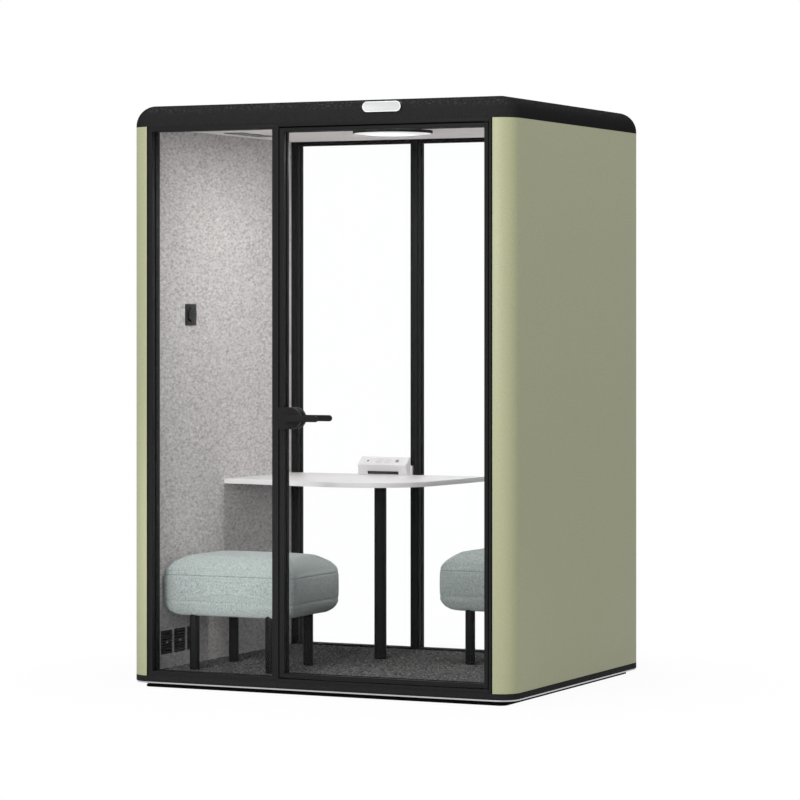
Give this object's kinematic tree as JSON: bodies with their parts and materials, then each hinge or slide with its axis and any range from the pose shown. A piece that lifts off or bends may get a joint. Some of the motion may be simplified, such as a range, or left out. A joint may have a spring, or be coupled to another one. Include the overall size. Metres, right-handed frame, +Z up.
{
  "type": "soundproof booth",
  "caption": "Free-standing sound booth with a glazed front and back, a hinged glass door with a lever lock, felt walls, a corner table, padded stools, a ceiling lamp and air fans.",
  "frame": {"origin": "on the floor, midway between the two sides and midway between the booth's front and back faces, in the middle of the plinth's underside", "axes": "+Z up, +X to the right of a person who faces the front, +Y from the front to the back"},
  "size_m": [1.65, 1.395, 2.3],
  "materials": {
    "plinth_black": "dull black plinth",
    "bright_trim": "satin bright trim",
    "black_metal": "fine-grained matt black powder coat",
    "black_frame": "fine-grained matt black powder coat",
    "black_board": "matt black laminate",
    "black_rubber": "dull black seal",
    "board": "plain pressed board, hidden",
    "sound_wool": "pressed sound wool, hidden",
    "sage_steel": "satin sage green powder coat",
    "wall_felt": "light grey mottled felt",
    "carpet_grey": "short dark grey carpet",
    "clear_glass": "clear laminated glass",
    "bright_steel": "brushed steel",
    "black_plastic": "fine-grained black plastic",
    "frosted_white": "frosted lamp cover",
    "white_board": "white circuit board",
    "grille_pale": "pale grey rim and slats",
    "grille_silver": "black slats in a bright rim",
    "badge_white": "bare white plate with a bright rim",
    "table_white": "white laminate",
    "box_white": "satin white plastic",
    "insert_grey": "light grey plastic",
    "seat_fabric": "woven blue-grey cloth",
    "leg_black": "black lacquered wood"
  },
  "bodies": {
    "booth": {"plinth": "plinth_black", "base_trim": "bright_trim", "base_frame": "black_metal", "floor_deck": "board", "carpet": "carpet_grey", "left_side_shell": "sage_steel", "right_side_shell": "sage_steel", "corner_posts": "black_board", "left_wall_core": "sound_wool", "right_wall_core": "sound_wool", "left_felt": "wall_felt", "right_felt": "wall_felt", "joint_seals": "black_rubber", "front_jambs": "black_frame", "front_head": "black_frame", "centre_post": "black_frame", "front_sill": "black_frame", "fixed_glass": "clear_glass", "fixed_beads": "black_frame", "door_stops": "black_frame", "door_seals": "black_rubber", "strike_plate": "bright_steel", "door_pivots": "black_metal", "back_frame": "black_frame", "back_glass": "clear_glass", "back_beads": "black_frame", "roof_cap": "black_metal", "roof_board": "board", "ceiling_felt": "wall_felt", "lamp_rim": "black_plastic", "lamp_diffuser": "frosted_white", "led_board": "white_board", "ceiling_grilles": "grille_pale", "fan_frames": "black_plastic", "badge_plate": "badge_white", "table_top": "table_white", "table_pins": "bright_steel", "table_leg": "black_metal", "socket_box": "box_white", "socket_inserts": "insert_grey", "wall_grilles": "grille_silver", "wall_ducts": "black_plastic", "switch_plate": "black_plastic"},
    "door": {"door_frame": "black_frame", "door_glass": "clear_glass", "door_beads": "black_frame", "lock_plates": "black_metal", "pivot_bushes": "black_plastic"},
    "lever": {"lever": "black_metal"},
    "latch": {"latch_bolt": "bright_steel"},
    "knob": {"switch_knob": "black_plastic"},
    "power_button": {"socket_button": "black_plastic"},
    "rotor_front": {"fan_rotor_front": "black_plastic"},
    "rotor_middle": {"fan_rotor_middle": "black_plastic"},
    "rotor_rear": {"fan_rotor_rear": "black_plastic"},
    "left_stool": {"left_stool_seat": "seat_fabric", "left_stool_legs": "leg_black"},
    "right_stool": {"right_stool_seat": "seat_fabric", "right_stool_legs": "leg_black"}
  },
  "joints": [
    {"name": "door_swing", "type": "hinge", "parent": "booth", "child": "door", "pos_m": [0.719, -0.667, 1.13], "axis": [0, 0, 1], "range_deg": [0, 100]},
    {"name": "lever_turn", "type": "hinge", "parent": "door", "child": "lever", "pos_m": [-0.1045, -0.655, 1.072], "axis": [0, 1, 0], "range_deg": [0, 45], "stiffness_Nm_per_rad": 1.5, "springref_deg": -22.92},
    {"name": "latch_slide", "type": "slide", "parent": "door", "child": "latch", "axis": [1, 0, 0], "range_m": [0, 0.0047]},
    {"name": "knob_turn", "type": "hinge", "parent": "booth", "child": "knob", "pos_m": [-0.755, -0.284, 1.473], "axis": [1, 0, 0], "range_deg": [-135, 135]},
    {"name": "power_press", "type": "slide", "parent": "booth", "child": "power_button", "axis": [0, 0.5882, -0.8087], "range_m": [0, 0.0015], "stiffness_N_per_m": 400, "springref_m": -0.001},
    {"name": "rotor_front_spin", "type": "hinge", "parent": "booth", "child": "rotor_front", "pos_m": [-0.64, -0.113, 2.248], "axis": [0, 0, 1], "continuous": true},
    {"name": "rotor_middle_spin", "type": "hinge", "parent": "booth", "child": "rotor_middle", "pos_m": [-0.64, 0, 2.248], "axis": [0, 0, 1], "continuous": true},
    {"name": "rotor_rear_spin", "type": "hinge", "parent": "booth", "child": "rotor_rear", "pos_m": [-0.64, 0.113, 2.248], "axis": [0, 0, 1], "continuous": true},
    {"name": "left_stool_slide", "type": "slide", "parent": "booth", "child": "left_stool", "axis": [0, 1, 0], "range_m": [0, 0.3]},
    {"name": "right_stool_slide", "type": "slide", "parent": "booth", "child": "right_stool", "axis": [1, 0, 0], "range_m": [-0.12, 0]}
  ],
  "couplings": [
    {"joint": "latch_slide", "follows": "lever_turn", "m_per_rad": 0.00598}
  ]
}
